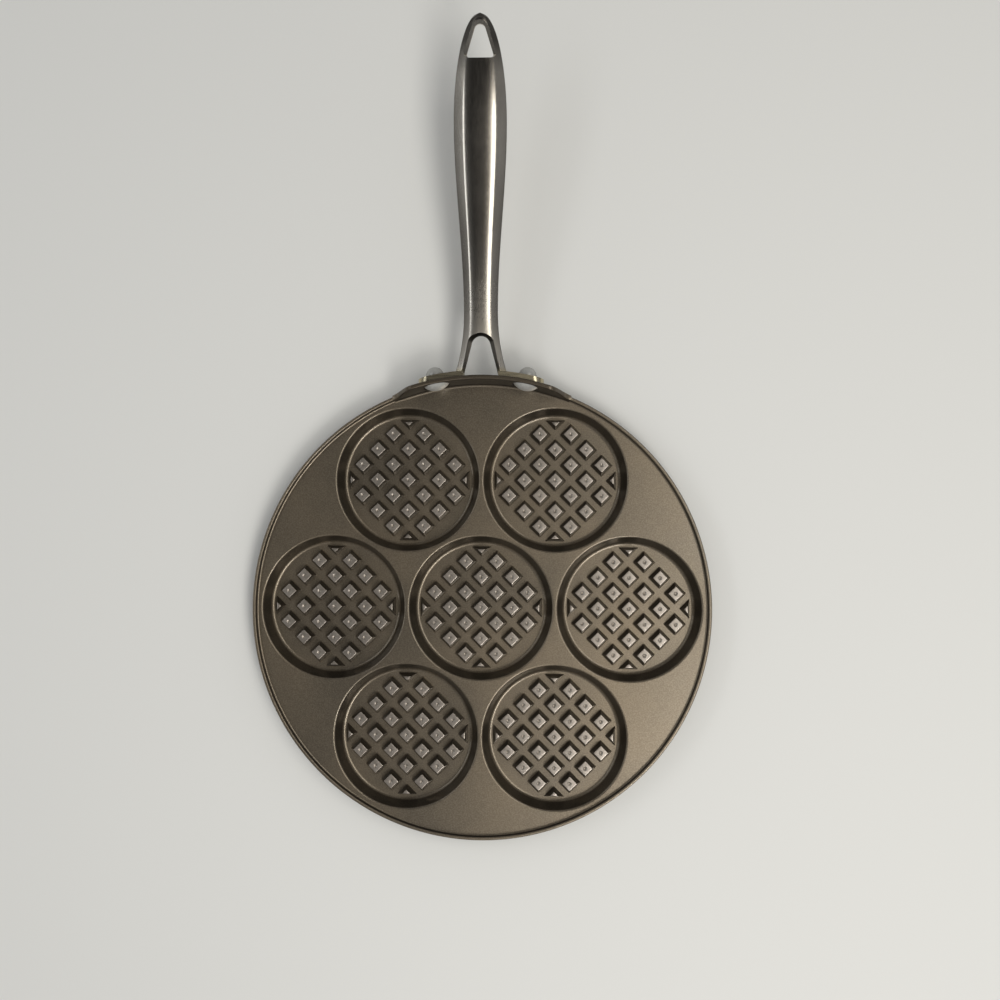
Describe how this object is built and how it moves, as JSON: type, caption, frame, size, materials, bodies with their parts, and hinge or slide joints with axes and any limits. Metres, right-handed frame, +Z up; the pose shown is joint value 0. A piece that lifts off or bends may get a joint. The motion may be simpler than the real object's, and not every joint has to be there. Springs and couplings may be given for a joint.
{
  "type": "waffle pan",
  "caption": "Stovetop waffle pan: round cast pan with low rim, round waffle cups with peg grids, and a long forked steel handle with a hanging loop.",
  "frame": {"origin": "centre of the flat underside, under the middle cup", "axes": "+Z up out of the cups, +Y along the handle, away from the pan"},
  "size_m": [0.2666, 0.4617, 0.0529],
  "materials": {
    "nonstick_casting": "satin bronze-grey non-stick finish on cast aluminium",
    "handle_steel": "satin, brushed along its length",
    "rivet_metal": "plain satin"
  },
  "bodies": {
    "root": {"pan_body": "nonstick_casting", "handle": "handle_steel", "rivet_left": "rivet_metal", "rivet_right": "rivet_metal"}
  },
  "joints": []
}
